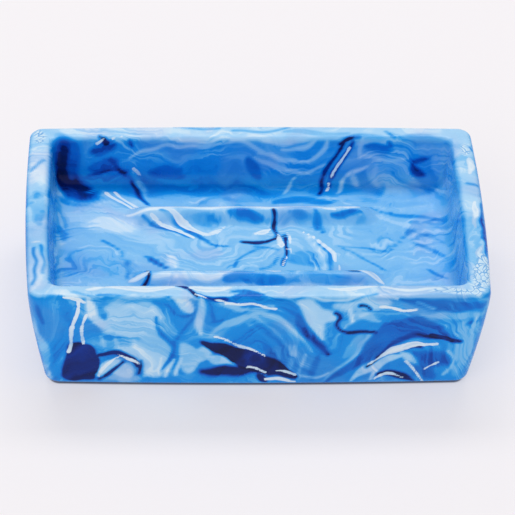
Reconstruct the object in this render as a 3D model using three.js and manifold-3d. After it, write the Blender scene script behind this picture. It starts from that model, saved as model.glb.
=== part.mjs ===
// Open rectangular soap tray with bowed, tapering sides, a shallow cavity, two raised bars on its floor
// and four thin pads under its base. Millimetres, +Z up. The origin is at the middle of the tray, on the
// surface that the pads stand on. X runs along the tray, Y across it.

import * as THREE from "three";
import { LoftGeometry } from "three/addons/geometries/LoftGeometry.js";
import { mergeVertices } from "three/addons/utils/BufferGeometryUtils.js";
import Module from "manifold-3d";

// ---- driving dimensions ----

const TRAY_LENGTH = 140; // over the rim, at the middle of the ends
const TRAY_WIDTH = 90; // over the rim, at the middle of the sides
const TRAY_HEIGHT = 37; // from the standing surface to the rim
const END_BOW = 1.2; // how far each end bulges past its corners
const SIDE_BOW = 1.1; // how far each long side bulges past its corners
const CORNER_RADIUS = 4; // upright corners, seen from above
const END_TAPER = 5.2; // how far each end comes in from rim to base
const SIDE_TAPER = 4.4; // how far each long side comes in from rim to base
const TAPER_CURVE = 1.3; // above 1 the taper gets steeper towards the base
const RIM_EDGE_RADIUS = 1.8; // outer edge of the rim
const BASE_EDGE_RADIUS = 1.4; // lower edge of the base

const END_RIM = 7; // width of the rim across each end
const SIDE_RIM = 7.5; // width of the rim along each side
const CAVITY_DEPTH = 14.8;
const CAVITY_DRAFT = 2; // how far each cavity wall leans in by the floor
const CAVITY_BOW = 0.8; // bulge of the cavity's ends; its long walls are straight
const CAVITY_CORNER = 3;
const FLOOR_FILLET = 3;
const LIP_RADIUS = 2; // inner edge of the rim

const BAR_LENGTH = 79;
const BAR_WIDTH = 9;
const BAR_HEIGHT = 3.2; // crest above the cavity floor
const BAR_CREST = 1; // width of the crest
const BAR_RAMP = 8; // length over which each end of a bar rises
const BAR_END_SHARE = 0.45; // corner radius of a bar's outline, as a share of its width
const BAR_SPACING = 33.2; // centre to centre

const PAD_DIAMETER = 9;
const PAD_THICKNESS = 0.6;
const PAD_INSET = 10; // from the edges of the base to a pad's centre

const SEAT_GAP = 0.3; // clearance between a seated piece and what it sits on

// ---- values that follow ----

const BASE_Z = PAD_THICKNESS + SEAT_GAP;
const WIDEST_Z = TRAY_HEIGHT - RIM_EDGE_RADIUS;
const FLOOR_Z = TRAY_HEIGHT - CAVITY_DEPTH;

// ---- facets ----

const SIDE_STEPS = 10; // along each side of an outline
const CORNER_STEPS = 5;
const EDGE_STEPS = 4; // over each rounded edge
const WALL_STEPS = 5; // up the tapering outside
const CAVITY_STEPS = 2; // down the straight part of the cavity's walls
const BAR_STEPS = 6; // from a bar's foot to its crest
const PAD_SIDES = 32;
const MERGE_TOLERANCE = 1e-4;

const wasm = await Module();
wasm.setup();

// One rounded rectangle at height z, counterclockwise from above, whose sides bow out by a parabola.
function outline({ length, width, endBow = 0, sideBow = 0, corner }, z) {
  const halfLength = length / 2;
  const halfWidth = width / 2;
  const points = [];
  for (let quarter = 0; quarter < 4; quarter++) {
    const start = (quarter * Math.PI) / 2;
    const heading = start + Math.PI / 2;
    const alongY = quarter % 2 === 1;
    const signX = quarter === 0 || quarter === 3 ? 1 : -1;
    const signY = quarter < 2 ? 1 : -1;
    const centreX = signX * (halfLength - corner);
    const centreY = signY * (halfWidth - corner);
    for (let i = 0; i <= CORNER_STEPS; i++) {
      const angle = start + (i / CORNER_STEPS) * (Math.PI / 2);
      points.push([centreX + corner * Math.cos(angle), centreY + corner * Math.sin(angle)]);
    }
    const straight = 2 * ((alongY ? halfWidth : halfLength) - corner);
    const [x, y] = points.at(-1);
    for (let i = 1; i < SIDE_STEPS; i++) {
      const step = (i / SIDE_STEPS) * straight;
      points.push([x - Math.sin(heading) * step, y + Math.cos(heading) * step]);
    }
  }
  return points.map(([x, y]) => {
    const bowedX = x * (1 - (endBow / halfLength) * (y / halfWidth) ** 2);
    const bowedY = y * (1 - (sideBow / halfWidth) * (x / halfLength) ** 2);
    return new THREE.Vector3(bowedX, bowedY, z);
  });
}

// How far a rounded edge of the given radius draws back at a distance from its end face.
function edgeInset(distance, radius) {
  return distance >= radius ? 0 : radius - Math.sqrt(radius ** 2 - (radius - distance) ** 2);
}

// Heights above an end face that divide a rounded edge into equal angles.
function edgeHeights(radius) {
  const angles = Array.from({ length: EDGE_STEPS + 1 }, (_, i) => (i / EDGE_STEPS) * (Math.PI / 2));
  return angles.map((angle) => radius * (1 - Math.cos(angle)));
}

// Evenly spaced heights strictly between two levels.
function between(low, high, steps) {
  return Array.from({ length: steps - 1 }, (_, i) => low + ((i + 1) / steps) * (high - low));
}

// The heights of a body with a rounded edge at its bottom and its top, lowest first.
function levels(bottom, top, bottomRadius, topRadius, steps) {
  const rising = edgeHeights(bottomRadius).map((h) => bottom + h);
  const falling = edgeHeights(topRadius).map((h) => top - h);
  return [...rising, ...between(rising.at(-1), falling.at(-1), steps), ...falling.reverse()];
}

// A closed body through the outlines, as a solid.
function solidThrough(sections) {
  const loft = new LoftGeometry(sections, { capStart: true, capEnd: true });
  const bare = new THREE.BufferGeometry().setAttribute("position", loft.getAttribute("position"));
  const merged = mergeVertices(bare.setIndex(loft.index), MERGE_TOLERANCE);
  const vertProperties = merged.attributes.position.array;
  return new wasm.Manifold(new wasm.Mesh({ numProp: 3, vertProperties, triVerts: merged.index.array }));
}

function geometryOf(solid) {
  const { vertProperties, triVerts } = solid.getMesh();
  const geometry = new THREE.BufferGeometry();
  geometry.setAttribute("position", new THREE.BufferAttribute(vertProperties, 3));
  geometry.setIndex(new THREE.BufferAttribute(triVerts, 1));
  geometry.computeVertexNormals();
  return geometry;
}

// ---- the tray ----

// The outside at height z: below the rim's rounded edge it tapers on a curve, and the base's edge is rounded.
function traySection(z) {
  const share = Math.max(0, (WIDEST_Z - z) / (WIDEST_Z - BASE_Z)) ** TAPER_CURVE;
  const rounding = edgeInset(TRAY_HEIGHT - z, RIM_EDGE_RADIUS) + edgeInset(z - BASE_Z, BASE_EDGE_RADIUS);
  const size = {
    length: TRAY_LENGTH - 2 * (END_TAPER * share + rounding),
    width: TRAY_WIDTH - 2 * (SIDE_TAPER * share + rounding),
    endBow: END_BOW,
    sideBow: SIDE_BOW,
    corner: CORNER_RADIUS - rounding,
  };
  return outline(size, z);
}

// The cavity at height z: its walls lean in, turn into the floor on a fillet and open over the lip.
function cavitySection(z) {
  const lean = (CAVITY_DRAFT * (TRAY_HEIGHT - z)) / CAVITY_DEPTH;
  const inset = lean + edgeInset(z - FLOOR_Z, FLOOR_FILLET) - edgeInset(TRAY_HEIGHT - z, LIP_RADIUS);
  const size = {
    length: TRAY_LENGTH - 2 * (END_RIM + inset),
    width: TRAY_WIDTH - 2 * (SIDE_RIM + inset),
    endBow: CAVITY_BOW,
    corner: Math.max(CAVITY_CORNER - inset, CAVITY_CORNER / 4),
  };
  return outline(size, z);
}

function trayBody() {
  const outerLevels = levels(BASE_Z, TRAY_HEIGHT, BASE_EDGE_RADIUS, RIM_EDGE_RADIUS, WALL_STEPS);
  const cavityLevels = levels(FLOOR_Z, TRAY_HEIGHT, FLOOR_FILLET, LIP_RADIUS, CAVITY_STEPS);
  const mouth = cavitySection(TRAY_HEIGHT).map((p) => p.clone().setZ(TRAY_HEIGHT + LIP_RADIUS));
  const outer = solidThrough(outerLevels.map(traySection));
  const cavity = solidThrough([...cavityLevels.map(cavitySection), mouth]);
  return geometryOf(outer.subtract(cavity));
}

// ---- the bars on the floor ----

// One outline of a bar at height z; its ends are nearly half round.
function barSection(length, width, z) {
  return outline({ length, width, corner: BAR_END_SHARE * width }, z);
}

// A low bar with a domed cross-section and ends that ramp down to the floor.
function barGeometry() {
  const foot = FLOOR_Z + SEAT_GAP;
  const rise = BAR_HEIGHT - SEAT_GAP;
  const angles = Array.from({ length: BAR_STEPS }, (_, i) => (i / BAR_STEPS) * (Math.PI / 2));
  const sections = angles.map((angle) => {
    const length = BAR_LENGTH - 2 * BAR_RAMP * (1 - Math.cos(angle));
    return barSection(length, BAR_WIDTH * Math.cos(angle), foot + rise * Math.sin(angle));
  });
  const crest = barSection(BAR_LENGTH - 2 * BAR_RAMP, BAR_CREST, foot + rise);
  return geometryOf(solidThrough([...sections, crest]));
}

// ---- the assembly ----

const marbled = new THREE.MeshStandardMaterial({ color: 0x3f8fd6, roughness: 0.25, metalness: 0 });
const clear = new THREE.MeshStandardMaterial({ color: 0xcfd6dc, roughness: 0.4, metalness: 0 });

function named(name, geometry, material) {
  const mesh = new THREE.Mesh(geometry, material);
  mesh.name = name;
  return mesh;
}

function supportBars() {
  const bars = new THREE.Group();
  for (const [name, side] of [["front_bar", -1], ["rear_bar", 1]]) {
    const bar = named(name, barGeometry(), marbled);
    bar.position.y = (side * BAR_SPACING) / 2;
    bars.add(bar);
  }
  return bars;
}

function basePads() {
  const pads = new THREE.Group();
  const x = TRAY_LENGTH / 2 - END_TAPER - PAD_INSET;
  const y = TRAY_WIDTH / 2 - SIDE_TAPER - PAD_INSET;
  for (const [row, sideY] of [["front", -1], ["rear", 1]]) {
    for (const [end, sideX] of [["left", -1], ["right", 1]]) {
      const disc = new THREE.CylinderGeometry(PAD_DIAMETER / 2, PAD_DIAMETER / 2, PAD_THICKNESS, PAD_SIDES);
      const pad = named(`${row}_${end}_pad`, disc.rotateX(Math.PI / 2), clear);
      pad.position.set(sideX * x, sideY * y, PAD_THICKNESS / 2);
      pads.add(pad);
    }
  }
  return pads;
}

const soapTray = new THREE.Group();
soapTray.add(named("tray_body", trayBody(), marbled), supportBars(), basePads());

export default soapTray;
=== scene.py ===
"""Looks of a cast, marbled soap tray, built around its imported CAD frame.

The tray, the two bars on its floor and the pads under its base are fine surfaces worked out on
parameter grids. The pour pattern is one procedural material in Object coordinates, so it runs on
unbroken from the walls over the rim and across the bars. Lengths are in millimetres unless a name
says otherwise, and MM turns them into metres.
"""

import logging
import math
from dataclasses import dataclass
from enum import Enum

import bpy
import numpy as np
from mathutils import Matrix, Vector


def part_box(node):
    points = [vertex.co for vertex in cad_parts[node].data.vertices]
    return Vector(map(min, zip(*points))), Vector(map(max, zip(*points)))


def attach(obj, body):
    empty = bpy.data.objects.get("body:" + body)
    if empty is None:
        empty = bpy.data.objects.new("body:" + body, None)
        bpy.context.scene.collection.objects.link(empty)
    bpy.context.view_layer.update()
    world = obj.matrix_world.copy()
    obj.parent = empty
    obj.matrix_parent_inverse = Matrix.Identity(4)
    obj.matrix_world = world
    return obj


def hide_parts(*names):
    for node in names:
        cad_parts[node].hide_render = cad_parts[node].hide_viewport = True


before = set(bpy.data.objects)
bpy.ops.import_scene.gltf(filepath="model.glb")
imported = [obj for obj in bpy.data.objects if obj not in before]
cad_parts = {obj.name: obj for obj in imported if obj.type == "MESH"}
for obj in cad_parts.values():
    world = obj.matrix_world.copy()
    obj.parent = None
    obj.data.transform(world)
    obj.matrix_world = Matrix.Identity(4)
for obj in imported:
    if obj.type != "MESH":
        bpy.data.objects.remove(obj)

MM = 0.001
BODY = "root"
log = logging.getLogger("soap_tray")


# ---------------------------------------------------------------- surfaces


@dataclass(frozen=True)
class Outline:
    """A rounded rectangle seen from above, whose sides bow out by a parabola.

    Its points are kept as shares of a rectangle and of a corner radius, so that rings of any size
    have the same number of points, in the same order, and can be joined into one surface.
    """

    corner_steps: int = 12
    end_steps: int = 110
    side_steps: int = 200

    def shares(self) -> tuple[np.ndarray, np.ndarray]:
        """Gives each point's share of the inner rectangle's corner and of the corner radius.

        Returns:
            Two arrays of shape (points, 2). A point is corner share times (half size less radius)
            plus radius share times radius, counterclockwise from the right end's upper corner.
        """
        corners = np.array([(1.0, 1.0), (-1.0, 1.0), (-1.0, -1.0), (1.0, -1.0)])
        placed, turned = [], []
        for k in range(4):
            angle = math.pi / 2 * (k + np.linspace(0.0, 1.0, self.corner_steps + 1))
            placed.append(np.tile(corners[k], (self.corner_steps + 1, 1)))
            turned.append(np.stack([np.cos(angle), np.sin(angle)], axis=1))
            steps = self.side_steps if k % 2 == 0 else self.end_steps
            t = np.linspace(0.0, 1.0, steps + 1)[1:-1, None]
            placed.append(corners[k] * (1 - t) + corners[(k + 1) % 4] * t)
            turned.append(np.tile(turned[-1][-1], (steps - 1, 1)))
        return np.concatenate(placed), np.concatenate(turned)

    def rings(
        self,
        half: np.ndarray,
        corner: np.ndarray,
        bow: tuple[float, float],
        z: np.ndarray,
    ) -> np.ndarray:
        """Stacks one ring of points for each row.

        Each side is pulled in towards its corners: x loses bow[0] times (y / half width) squared
        at the ends, and y loses bow[1] times (x / half length) squared at the long sides.

        Args:
            half: half length and half width of each ring, shape (rows, 2).
            corner: corner radius of each ring, shape (rows,).
            bow: how far the ends and the long sides bulge past their corners.
            z: height of each ring, shape (rows,).

        Returns:
            Points of shape (rows, points, 3).
        """
        placed, turned = self.shares()
        inner = half[:, None, :] - corner[:, None, None]
        flat = inner * placed[None] + corner[:, None, None] * turned[None]
        share = (flat / half[:, None, :]) ** 2
        x = flat[..., 0] * (1 - bow[0] / half[:, None, 0] * share[..., 1])
        y = flat[..., 1] * (1 - bow[1] / half[:, None, 1] * share[..., 0])
        return np.stack([x, y, np.broadcast_to(z[:, None], x.shape)], axis=-1)


def quarter(steps: int) -> tuple[np.ndarray, np.ndarray]:
    """Gives a rounded edge's shares of its radius: how far it draws back, and how high it is.

    Args:
        steps: number of steps from the end face to the wall.

    Returns:
        Inset and height as shares of the radius, 1 - sin and 1 - cos of equal angles.
    """
    angle = np.linspace(0.0, math.pi / 2, steps + 1)
    return 1 - np.sin(angle), 1 - np.cos(angle)


def closed_mesh(name: str, rings: np.ndarray) -> bpy.types.Object:
    """Joins rings into a closed surface, with one small flat face over each end.

    Args:
        name: the new object's name.
        rings: points of shape (rows, points, 3) in millimetres, counterclockwise seen from the
            last ring's side, so that the faces point outwards.

    Returns:
        The object, linked to the scene, with smooth faces.
    """
    rows, count, _ = rings.shape
    index = np.arange(rows * count).reshape(rows, count)
    after = np.roll(index, -1, axis=1)
    quads = np.stack([index[:-1], after[:-1], after[1:], index[1:]], axis=-1).reshape(-1, 4)
    faces = [tuple(index[0, ::-1]), *map(tuple, quads.tolist()), tuple(index[-1])]
    mesh = bpy.data.meshes.new(name)
    mesh.from_pydata((rings.reshape(-1, 3) * MM).tolist(), [], faces)
    mesh.polygons.foreach_set("use_smooth", np.ones(len(faces), dtype=bool))
    mesh.update()
    piece = bpy.data.objects.new(name, mesh)
    bpy.context.scene.collection.objects.link(piece)
    return piece


# ---------------------------------------------------------------- colour


def srgb(code: str) -> tuple[float, float, float, float]:
    """Turns an sRGB hex colour into the linear colour that Blender reads.

    Args:
        code: the colour as "#rrggbb".

    Returns:
        Linear red, green, blue and an alpha of 1.
    """
    parts = np.array([int(code[i:i + 2], 16) for i in (1, 3, 5)]) / 255.0
    linear = np.where(parts <= 0.04045, parts / 12.92, ((parts + 0.055) / 1.055) ** 2.4)
    return (*linear.tolist(), 1.0)


def add_node(
    tree: bpy.types.NodeTree, kind: str, settings: dict | None = None, inputs: dict | None = None
) -> bpy.types.Node:
    """Adds one node to a tree.

    Args:
        tree: the node tree.
        kind: Blender's name for the node type.
        settings: the node's own properties. "stops" holds a ramp's positions and sRGB hex colours.
        inputs: values or output sockets by input name or number.

    Returns:
        The node.
    """
    node = tree.nodes.new(kind)
    for key, value in (settings or {}).items():
        if key != "stops":
            setattr(node, key, value)
            continue
        while len(node.color_ramp.elements) < len(value):
            node.color_ramp.elements.new(1.0)
        for element, (position, code) in zip(node.color_ramp.elements, value):
            element.position, element.color = position, srgb(code)
    for key, value in (inputs or {}).items():
        if isinstance(value, bpy.types.NodeSocket):
            tree.links.new(value, node.inputs[key])
        else:
            node.inputs[key].default_value = value
    return node


def empty_material(name: str) -> bpy.types.Material:
    """Starts a material with no nodes in its tree.

    Args:
        name: the material's name.

    Returns:
        The material.
    """
    material = bpy.data.materials.new(name)
    material.use_nodes = True
    material.node_tree.nodes.clear()
    return material


# ---------------------------------------------------------------- the pieces


def tie(piece: bpy.types.Object, node: str, material: bpy.types.Material) -> None:
    """Gives a piece its material and ties it to the frame.

    Args:
        piece: the new mesh.
        node: the CAD node that it stands for.
        material: its finish.
    """
    piece.data.materials.append(material)
    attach(piece, BODY)
    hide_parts(node)
    log.info("%s: %d faces", piece.name, len(piece.data.polygons))


def corners_of(node: str) -> tuple[np.ndarray, np.ndarray]:
    """Gives a CAD node's lowest and highest corners.

    Args:
        node: the node's name.

    Returns:
        Both corners in millimetres, each of shape (3,).
    """
    low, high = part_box(node)
    return np.array(low) / MM, np.array(high) / MM


@dataclass(frozen=True)
class TrayCasting:
    """The tray: tapering bowed walls, a rounded rim and a shallow cavity over a thick floor."""

    end_bow: float = 1.2  # how far each end bulges past its corners
    side_bow: float = 1.1
    corner: float = 4.0
    end_taper: float = 5.2  # how far each end comes in from rim to base
    side_taper: float = 4.4
    taper_curve: float = 1.3  # above 1 the taper gets steeper towards the base
    rim_edge: float = 1.8
    base_edge: float = 1.4
    end_rim: float = 7.0
    side_rim: float = 7.5
    depth: float = 14.8
    draft: float = 2.0
    cavity_bow: float = 0.8
    cavity_corner: float = 3.0
    least_corner: float = 0.75
    fillet: float = 3.0
    lip: float = 2.0
    edge_steps: int = 8
    wall_steps: int = 48
    cavity_steps: int = 15
    rim_steps: int = 7
    floor_steps: int = 40
    base_steps: int = 5
    centre_share: float = 0.02  # of the ring around a level face, left for one small flat face

    def build(self) -> bpy.types.Object:
        """Builds the casting as one closed surface from under its base to its cavity's floor.

        Returns:
            The object.
        """
        low, high = corners_of("tray_body")
        half = (high - low)[:2] / 2
        outside = self.outside(half, low[2], high[2])
        inside = self.inside(half, high[2])
        t = np.linspace(0.0, 1.0, self.rim_steps + 1)[1:-1, None, None]
        rim = outside[-1] * (1 - t) + inside[0] * t
        return closed_mesh("tray_casting", np.concatenate([outside, rim, inside]))

    def outside(self, half: np.ndarray, base: float, top: float) -> np.ndarray:
        """Works out the rings from the middle of the base to the rim's outer edge.

        The wall's inset is the taper times the share of the height below the widest level, raised
        to the taper curve. Both edges are quarter circles.

        Args:
            half: half length and half width over the rim.
            base: height of the base.
            top: height of the rim.

        Returns:
            Points of shape (rows, points, 3).
        """
        inset, rise = quarter(self.edge_steps)
        widest = top - self.rim_edge
        wall = np.linspace(base + self.base_edge, widest, self.wall_steps + 1)[1:-1]
        z = np.concatenate([base + self.base_edge * rise, wall, top - self.rim_edge * rise[::-1]])
        share = np.clip((widest - z) / (widest - base), 0.0, 1.0) ** self.taper_curve
        edges = self.base_edge * inset, np.zeros(len(wall)), self.rim_edge * inset[::-1]
        rounding = np.concatenate(edges)
        size = half - share[:, None] * (self.end_taper, self.side_taper) - rounding[:, None]
        rings = Outline().rings(size, self.corner - rounding, (self.end_bow, self.side_bow), z)
        return np.concatenate([self.spread(rings[0], self.base_steps)[:-1], rings])

    def inside(self, half: np.ndarray, top: float) -> np.ndarray:
        """Works out the rings from the rim's inner edge to the middle of the cavity's floor.

        The walls lean in by the draft, flare out over the lip and turn into the floor on a fillet,
        both of them quarter circles.

        Args:
            half: half length and half width over the rim.
            top: height of the rim.

        Returns:
            Points of shape (rows, points, 3).
        """
        inset, rise = quarter(self.edge_steps)
        floor = top - self.depth
        wall = np.linspace(top - self.lip, floor + self.fillet, self.cavity_steps + 1)[1:-1]
        z = np.concatenate([top - self.lip * rise, wall, floor + self.fillet * rise[::-1]])
        rounding = np.concatenate(
            [-self.lip * inset, np.zeros(len(wall)), self.fillet * inset[::-1]]
        )
        total = self.draft * (top - z) / self.depth + rounding
        size = half - (self.end_rim, self.side_rim) - total[:, None]
        corner = np.maximum(self.cavity_corner - total, self.least_corner)
        rings = Outline().rings(size, corner, (self.cavity_bow, 0.0), z)
        return np.concatenate([rings, self.spread(rings[-1], self.floor_steps)[::-1][1:]])

    def spread(self, ring: np.ndarray, steps: int) -> np.ndarray:
        """Fills a level face with copies of its edge ring, scaled up evenly from the middle.

        Args:
            ring: the edge ring, shape (points, 3).
            steps: number of rings.

        Returns:
            Points of shape (steps, points, 3), the innermost ring first.
        """
        scale = np.linspace(self.centre_share, 1.0, steps)[:, None, None]
        return ring[None] * np.where([True, True, False], scale, 1.0)

    def dress(self, piece: bpy.types.Object, pour: "Pour", finish: bpy.types.Material) -> None:
        """Lays the pour in the casting and gives it its finish.

        Args:
            piece: the casting.
            pour: how the pigments lie.
            finish: the material.
        """
        pour.store(piece)
        tie(piece, "tray_body", finish)


@dataclass(frozen=True)
class SupportBars:
    """The two raised bars on the cavity's floor, cast in one with it."""

    nodes: tuple[str, ...] = ("rear_bar", "front_bar")
    foot: float = 1.2  # how far the blended foot spreads past the node's box
    sink: float = 0.15  # how far under the floor a bar starts
    ramp: float = 8.0  # length over which each end rises
    crest: float = 0.1  # half width of the crest
    roundness: float = 0.9  # corner radius of a ring, as a share of its half width
    steps: int = 28

    def build(self, floor: float) -> list[bpy.types.Object]:
        """Builds both bars.

        Args:
            floor: height of the cavity's floor.

        Returns:
            The objects, in the order of the nodes.
        """
        return [self.bar(node, floor - self.sink) for node in self.nodes]

    def bar(self, node: str, base: float) -> bpy.types.Object:
        """Builds one bar as rings from its foot to its crest.

        Across the bar the height is half the bar's height times one plus the cosine of pi times
        the distance from the crest, so that it leaves the floor without an edge.

        Args:
            node: the CAD node that gives its place and size.
            base: height that it rises from, just under the floor.

        Returns:
            The object.
        """
        low, high = corners_of(node)
        half = (high - low)[:2] / 2
        t = np.linspace(1.0, 0.0, self.steps)
        z = base + (high[2] - base) * (1 + np.cos(math.pi * t)) / 2
        width = self.crest + (half[1] + self.foot) * t
        length = half[0] - self.ramp + (self.ramp + self.foot) * t
        size = np.stack([length, width], axis=1)
        rings = Outline().rings(size, width * self.roundness, (0.0, 0.0), z)
        rings[..., 1] += (low[1] + high[1]) / 2
        return closed_mesh(node + "_casting", rings)

    def dress(
        self, bars: list[bpy.types.Object], pour: "Pour", floor: float, finish: bpy.types.Material
    ) -> None:
        """Carries the floor's pour on over the bars and gives them their finish.

        Args:
            bars: the objects, in the order of the nodes.
            pour: how the pigments lie.
            floor: height of the cavity's floor.
            finish: the material.
        """
        for node, piece in zip(self.nodes, bars):
            pour.store(piece, flatten=floor)
            tie(piece, node, finish)


@dataclass(frozen=True)
class BasePads:
    """The four thin discs under the corners of the base."""

    nodes: tuple[str, ...] = (
        "front_left_pad", "front_right_pad", "rear_left_pad", "rear_right_pad"
    )
    edge: float = 0.2
    edge_steps: int = 4
    sides: int = 72
    centre_share: float = 0.02

    def build(self) -> list[bpy.types.Object]:
        """Builds the four discs.

        Returns:
            The objects, in the order of the nodes.
        """
        return [self.disc(node) for node in self.nodes]

    def disc(self, node: str) -> bpy.types.Object:
        """Builds a disc as circles from its underside to its top, with quarter-circle edges.

        Args:
            node: the CAD node that gives its place and size.

        Returns:
            The object.
        """
        low, high = corners_of(node)
        centre = (low + high) / 2
        full = (high - low)[0] / 2
        inset, rise = quarter(self.edge_steps)
        middle = [self.centre_share * full]
        radius = np.concatenate([middle, full - self.edge * np.append(inset, inset[::-1]), middle])
        z = np.append(low[2] + self.edge * rise, high[2] - self.edge * rise[::-1])
        z = np.concatenate([z[:1], z, z[-1:]])
        angle = np.linspace(0.0, 2 * math.pi, self.sides, endpoint=False)
        x = centre[0] + radius[:, None] * np.cos(angle)
        y = centre[1] + radius[:, None] * np.sin(angle)
        rings = np.stack([x, y, np.broadcast_to(z[:, None], x.shape)], axis=-1)
        return closed_mesh(node + "_film", rings)

    def dress(self, pads: list[bpy.types.Object], finish: bpy.types.Material) -> None:
        """Gives the pads their finish.

        Args:
            pads: the objects, in the order of the nodes.
            finish: the material.
        """
        for node, piece in zip(self.nodes, pads):
            tie(piece, node, finish)


# ---------------------------------------------------------------- the pour


class Sheet(Enum):
    """Surfaces that pigment is laid on, each with its own two coordinates u, v in millimetres.

    FRONT is x and height on the long front wall, and runs on over the rim above its top.
    CAVITY is x and the way down the rear wall, then on along the floor towards the front.
    RIM is x and y on the rim. END is y and height on the cavity's right wall.
    """

    FRONT = "front"
    CAVITY = "cavity"
    RIM = "rim"
    END = "end"


class Layer(Enum):
    """How a pigment lies: a soft cloud of some lightness, crisp pale or navy pigment, or lace."""

    CLOUD = "cloud"
    MILK = "milk"
    INK = "ink"
    LACE = "lace"


FINEST = 0.46  # least half width of a streak


# a streak lays pigment; some streaks paint light and shade instead
@dataclass(frozen=True)
class Streak:
    """One tongue of pigment, drawn out along a parabola.

    Args:
        start: where it starts on the sheet, (u, v).
        end: where it ends on the sheet, (u, v).
        width: its width halfway along.
        bend: how far its middle stands off the straight line, to the left as u and v are drawn.
        ends: width of its ends as a share of its width, 0 for points.
        tone: lightness of a cloud, 0 for navy and 1 for white.
        soft: width over which a cloud's edge fades. Crisp pigment doesn't use it.
    """

    start: tuple[float, float]
    end: tuple[float, float]
    width: float
    bend: float = 0.0
    ends: float = 0.0
    tone: float = 0.0
    soft: float = 1.3

    def spine(self, steps: int = 10) -> tuple[np.ndarray, np.ndarray]:
        """Gives places along the streak, and its half width at each.

        The arch 4 t (1 - t) is 0 at both ends and 1 halfway. It carries the middle off the
        straight line by the bend, and swells the width from its ends to its middle.

        Args:
            steps: number of straight stretches.

        Returns:
            Places on the sheet, shape (steps + 1, 2), and half widths, shape (steps + 1,).
        """
        t = np.linspace(0.0, 1.0, steps + 1)
        arch = 4 * t * (1 - t)
        way = np.subtract(self.end, self.start)
        left = np.array([-way[1], way[0]]) / max(np.hypot(*way), 1e-6)
        places = np.array(self.start) + t[:, None] * way + self.bend * arch[:, None] * left
        return places, np.maximum(self.width / 2 * (self.ends + (1 - self.ends) * arch), FINEST)


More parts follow.
